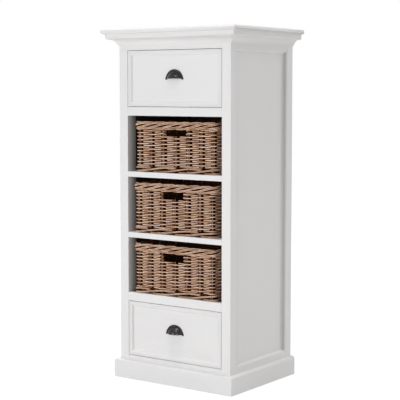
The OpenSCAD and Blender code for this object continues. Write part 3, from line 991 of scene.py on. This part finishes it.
@node_group(
    "Geometry",
    {"Geometry": SHAPE, "Middle": 0.0, "Centre X": 0.0, "Centre Y": 0.0, "Half Width": 0.19,
     "Half Depth": 0.18, "Corner": 0.02, "Pitch": 0.0075, "Stick Spacing": 0.042, "Seed": 1,
     "Material": FINISH},
    {"Geometry": SHAPE})
def woven_mat(tree, given):
    """A flat plain-woven mat with round corners: thick sticks front to back, canes across."""
    corner, middle = given["Corner"], given["Middle"]
    centre_x, centre_y = given["Centre X"], given["Centre Y"]

    def limited(offset, side_reach, end_reach):
        """Half the length of a line at an offset inside the rounded rectangle."""
        into = maths("MAXIMUM", maths("ABSOLUTE", offset) - (side_reach - corner), 0.0)
        square = corner * corner - into * into
        return (end_reach - corner) + maths("SQRT", maths("MAXIMUM", square, 0.0))

    def rods(reach, pitch, other, points):
        """Lines side by side across a reach, with their number, offset and run."""
        count = maths("FLOOR", reach * 2.0 / pitch)
        lines, number, factor = straight_lines(tree, count, points)
        offset = (number + (count - 1.0) * -0.5) * pitch
        return lines, number, offset, (factor * 2.0 - 1.0) * limited(offset, reach, other)

    half_width, half_depth = given["Half Width"], given["Half Depth"]
    lines, number, offset, run = rods(half_depth, given["Pitch"], half_width, 64)
    wave = maths("COSINE", (run / given["Stick Spacing"] + number) * math.pi)
    level = wave * WEFT_RISE + middle
    weft = moved(lines, point(tree, run + centre_x, offset + centre_y, level))
    lines, number, offset, run = rods(half_width, given["Stick Spacing"], half_depth, 12)
    sticks = moved(lines, point(tree, offset + centre_x, run + centre_y, middle))
    meshes = [canes(weft, *WEFT, given["Seed"], Sides=6), canes(sticks, *STICK, given["Seed"])]
    return finished(tree, meshes, given["Material"])


# %% [markdown]
# ### Rattan
#
# Unpeeled rattan is dull and grey-brown, and no two pieces match. Its colour starts as a tone
# for each piece, blended from six, and is then only darkened, by one brown tint raised to a
# power that serves both stains and painted shade. Stains, fibres and each piece's own shade add
# to that power. So does painted shade, where soft light leaves too little between canes that
# nearly touch: on the skin that faces inwards or sideways, in the dips where a weaver goes behind
# a stake, and on all that faces into the basket.

# %% The rattan's colours and shades
CANE_TONES = ((0.96, 0.73, 0.61), (0.98, 0.81, 0.59), (0.96, 0.75, 0.64),
              (0.93, 0.78, 0.70), (0.97, 0.74, 0.56), (1.00, 0.86, 0.77))
# One brown tint darkens both the stains and the painted shade.
STAIN_AND_SHADE_TINT = (0.24, 0.125, 0.075, 1.0)
# The shade at the start and at the end of a range, and then that range.
STAINED = (0.22, 0.0, 0.34, 0.52)
FIBRED = (0.36, 0.0, 0.38, 0.54)
# Painted shade: in the dips behind stakes, on the skin facing inwards, between rows, and on all
# that faces into the basket.
DIPPED = (0.0, 3.8, 0.33, 0.62)
DIP_SHARE = (0.25, 1.0, -0.6, 0.4)
INWARD = (0.65, 0.0, -0.6, -0.1)
BETWEEN_ROWS = (0.0, 1.9, 0.40, 0.85)
IN_THE_BASKET = (0.85, 0.0, -0.14, -0.03)
OWN_SHADE = 0.15
FIBRES_ROUND, FIBRES_ALONG = 3.0, 40.0


def tone_ladder(tree, tone):
    """The colour of a piece, from its random tone."""
    ladder = add(tree, "ShaderNodeValToRGB", {"Fac": tone})
    stops = ladder.color_ramp.elements
    while len(stops) < len(CANE_TONES):
        stops.new(0.5)
    for step, (stop, colour) in enumerate(zip(stops, CANE_TONES)):
        stop.position = step / (len(CANE_TONES) - 1)
        stop.color = (*colour, 1.0)
    return Wire(tree, ladder.outputs["Color"])


print("rattan in", len(CANE_TONES), "tones")

# %% Rattan
def rattan(tree):
    """Dull grey-brown cane: each piece has its own tone, with fibres along it, and painted shade
    in its dips, crevices and inside the basket.
    """

    def kept(name, output="Fac"):
        """What the canes keep under a name."""
        return wires(tree, "ShaderNodeAttribute", attribute_name=name)[output]

    tone, skin = kept("tone"), kept("skin", "Vector")
    run = point(tree, z=kept("along") * FIBRES_ALONG)
    fibres = noise(vectors("ADD", vectors("SCALE", skin, FIBRES_ROUND), run), 1.6, 4.0)["Fac"]
    coordinates = wires(tree, "ShaderNodeTexCoord")
    stains = noise(coordinates["Object"], 26.0, 3.0)["Fac"]
    own = ramp(maths("FRACT", tone * 17.0), 0.0, OWN_SHADE)
    side = axes(skin)
    # Painted shade for the dips, the crevices between rows, the inward skin and the basket's
    # inside.
    dip_shade = ramp(kept("dip"), *DIPPED) * ramp(side["X"], *DIP_SHARE)
    crevice = ramp(maths("ABSOLUTE", side["Y"]), *BETWEEN_ROWS) * kept("crevice")
    sunk_shade = maths("MAXIMUM", ramp(side["X"], *INWARD), crevice)
    spot = axes(coordinates["Object"])
    normal = axes(coordinates["Normal"])
    outward = spot["Y"] * normal["Y"] + spot["X"] * normal["X"]
    within = ramp(outward, *IN_THE_BASKET)
    shade = maths("MAXIMUM", within, maths("MAXIMUM", dip_shade, sunk_shade))
    shade = shade + own + ramp(stains, *STAINED) + ramp(fibres, *FIBRED)
    darker = wires(tree, "ShaderNodeGamma", {"Color": STAIN_AND_SHADE_TINT, "Gamma": shade})[0]
    colour = blend_colours(1.0, tone_ladder(tree, tone), darker, "MULTIPLY")
    return {"Base Color": colour,
            "Roughness": ramp(fibres, 0.55, 0.8),
            "Specular IOR Level": 0.06,
            "Normal": bump(fibres, distance=0.0006, strength=0.5)}


rattan_finish = make_material("rattan", rattan)
print("material:", rattan_finish.name)

# %% [markdown]
# ## Three baskets
#
# Each basket has a guide line round the middle of its woven wall, and one for each border. The
# guide is an open line that starts and ends at the middle of the front, so that a distance of
# zero is always there. The sizes come from the boxes of the CAD pieces that the woven ones
# stand for.

# %% Guide lines and the weaving
CORNER_STEPS = 12


def guide_line(half_width, half_depth, corner, middle):
    """A mesh line round a rounded rectangle, from the front's middle and back to it."""
    points = [(0.0, -half_depth)]
    for side_x, side_y, start in ((1, -1, -90), (1, 1, 0), (-1, 1, 90), (-1, -1, 180)):
        for step in range(CORNER_STEPS + 1):
            angle = math.radians(start + 90.0 * step / CORNER_STEPS)
            points.append((side_x * (half_width - corner) + corner * math.cos(angle),
                           side_y * (half_depth - corner) + corner * math.sin(angle)))
    points.append((0.0, -half_depth))
    mesh = bpy.data.meshes.new("guide")
    mesh.from_pydata([(x + middle.x, y + middle.y, 0.0) for x, y in points],
                     [(i, i + 1) for i in range(len(points) - 1)], [])
    guide = bpy.data.objects.new("guide", mesh)
    scene.collection.objects.link(guide)
    return guide


def grow(name, guide, tree, values):
    """Runs a Geometry Nodes tree on a guide and returns its result as a plain mesh object."""
    modifier = guide.modifiers.new("grow", "NODES")
    modifier.node_group = tree
    for item in tree.interface.items_tree:
        if item.in_out == "INPUT" and item.name in values:
            modifier[item.identifier] = values[item.name]
    evaluated = guide.evaluated_get(bpy.context.evaluated_depsgraph_get())
    mesh = bpy.data.meshes.new_from_object(evaluated)
    mesh.name = name
    piece = bpy.data.objects.new(name, mesh)
    scene.collection.objects.link(piece)
    guide.modifiers.clear()
    bpy.data.objects.remove(guide)
    return piece


def claim(piece, level, part):
    """Makes a woven piece stand for its CAD node and move with its basket."""
    body = "basket_" + level
    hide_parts(body + "_" + part)
    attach(piece, body)
    return piece


def measure(level, part):
    """The middle and half the size of a basket's CAD piece, and its lowest and highest points."""
    low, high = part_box("basket_" + level + "_" + part)
    return (low + high) / 2, (high - low) / 2, low, high


# %% [markdown]
# The baskets are alike, but their rows' height, the hole's place and the start of the rope
# differ a little, as read from the photograph. Lengths here are in metres.

# %% Plans of the baskets
WALL_DEPTH = 0.021
CORNER = 0.021
STAKES = 26
LOW_ROWS = 17
BELOW_RIM = 0.012
BASKETS = {
    "upper": {"Pitch": 0.00733, "Hole Rows": 4, "Hole Aside": 0.0035, "Phase": -0.028},
    "middle": {"Pitch": 0.0071, "Hole Rows": 4, "Hole Aside": -0.0045, "Phase": 0.0},
    "lower": {"Pitch": 0.0069, "Hole Rows": 5, "Hole Aside": -0.0045, "Phase": -0.03},
}
# The foot's undercut puts painted shade on its undersides.
BORDERS = {
    "rim": {"Inset": 0.010, "Strands": 5, "Turns": 5, "Undercut": 0.0},
    "foot": {"Inset": 0.008, "Strands": 3, "Turns": 4, "Undercut": 0.35},
}
BORDER_CORNER = CORNER - 0.004
ROD_SHARE = 0.145
ROD_ROOM = 0.002
MAT_CORNER = 0.022
print("baskets:", *BASKETS, "borders:", *BORDERS)

# %% Weave them
def weave_wall(level, seed):
    """Weaves a basket's wall; its top lies inside the rim."""
    plan = BASKETS[level]
    middle, half, low, _ = measure(level, "wall")
    floor, top = measure(level, "foot")[2].z, measure(level, "rim")[3].z
    half_wall = WALL_DEPTH / 2
    guide = guide_line(half.x - half_wall, half.y - half_wall, CORNER - half_wall, middle)
    wall = grow("woven_wall_" + level, guide, woven_wall, {
        "Floor": floor, "Foot": low.z - floor, "Pitch": plan["Pitch"], "Whole Rows": LOW_ROWS,
        "Broken Rows": plan["Hole Rows"], "Hole Aside": plan["Hole Aside"], "Stakes": STAKES,
        "Front": middle.y - half.y + half_wall, "Centre": middle.x,
        "Wall Top": top - floor - BELOW_RIM, "Seed": seed, "Material": rattan_finish})
    return claim(wall, level, "wall")


def weave_border(level, part, seed):
    """Plaits the rim or the foot of a basket; the inset is half its depth."""
    plan = BORDERS[part]
    middle, half = measure(level, part)[:2]
    inset = plan["Inset"]
    radius = half.z * ROD_SHARE
    guide = guide_line(half.x - inset, half.y - inset, BORDER_CORNER, middle)
    rope = grow("plaited_" + part + "_" + level, guide, plaited_border, {
        "Middle": middle.z, "Half Width": inset - radius - ROD_ROOM, "Spread": radius * 2.0,
        "Half Rise": half.z - radius * 2.0, "Rod Radius": radius, "Strands": plan["Strands"],
        "Turns": plan["Turns"], "Undercut": plan["Undercut"], "Phase": BASKETS[level]["Phase"],
        "Seed": seed + 10, "Material": rattan_finish})
    return claim(rope, level, part)


def weave_mat(level, seed):
    """Weaves a basket's bottom; its guide only carries the tree."""
    middle, half = measure(level, "base")[:2]
    mat = grow("woven_bottom_" + level, guide_line(0.1, 0.1, 0.01, middle), woven_mat, {
        "Middle": middle.z, "Centre X": middle.x, "Centre Y": middle.y, "Half Width": half.x,
        "Half Depth": half.y, "Corner": MAT_CORNER, "Seed": seed, "Material": rattan_finish})
    return claim(mat, level, "base")


for seed, level in enumerate(BASKETS, start=1):
    pieces = [weave_wall(level, seed)]
    pieces.extend(weave_border(level, part, seed) for part in BORDERS)
    pieces.append(weave_mat(level, seed))
    print(level, [(piece.name, len(piece.data.polygons)) for piece in pieces])
